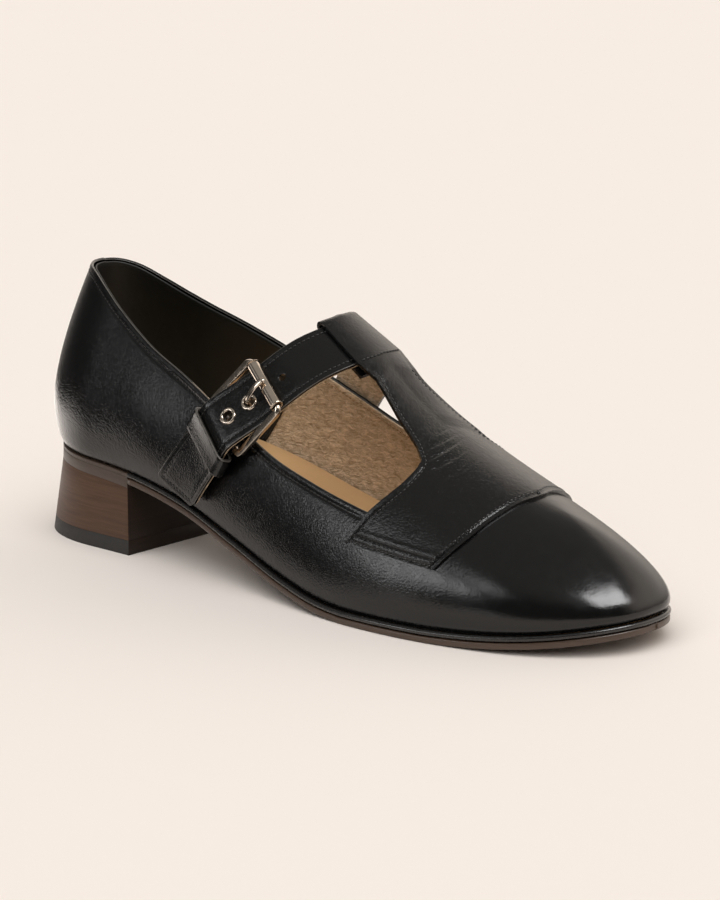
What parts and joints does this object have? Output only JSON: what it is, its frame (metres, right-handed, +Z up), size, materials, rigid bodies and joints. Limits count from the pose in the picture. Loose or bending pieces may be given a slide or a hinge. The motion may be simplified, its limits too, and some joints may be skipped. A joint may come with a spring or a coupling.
{
  "type": "t-bar shoe with block heel",
  "caption": "Right-foot leather T-bar shoe with a closed round toe, raised saddle, buckled instep strap and low wooden block heel; worn on the foot.",
  "frame": {"origin": "on the floor, under the centre of the shoe's box", "axes": "+X from heel to toe, +Y to the inner side (the big toe's), +Z up"},
  "size_m": [0.2458, 0.0785, 0.0923],
  "materials": {
    "black_leather": "smooth black calf with a fine grain and a satin gloss",
    "tan_leather": "smooth tan lining leather",
    "brown_sole": "dark brown sole leather with a waxed edge",
    "black_edge": "inked and polished black edge",
    "brown_wood": "stained dark brown with a fine horizontal grain",
    "black_rubber": "matt black",
    "pale_gold_metal": "polished pale gold plating"
  },
  "bodies": {
    "root": {"upper": "black_leather", "t_bar_saddle": "black_leather", "strap": "black_leather", "buckle_tab": "black_leather", "keeper": "black_leather", "buckle_frame": "pale_gold_metal", "buckle_roller": "pale_gold_metal", "buckle_prong": "pale_gold_metal", "eyelet_1": "pale_gold_metal", "eyelet_2": "pale_gold_metal", "insole": "tan_leather", "welt": "black_edge", "outsole": "brown_sole", "heel": "brown_wood", "heel_top_piece": "black_rubber"}
  },
  "joints": []
}
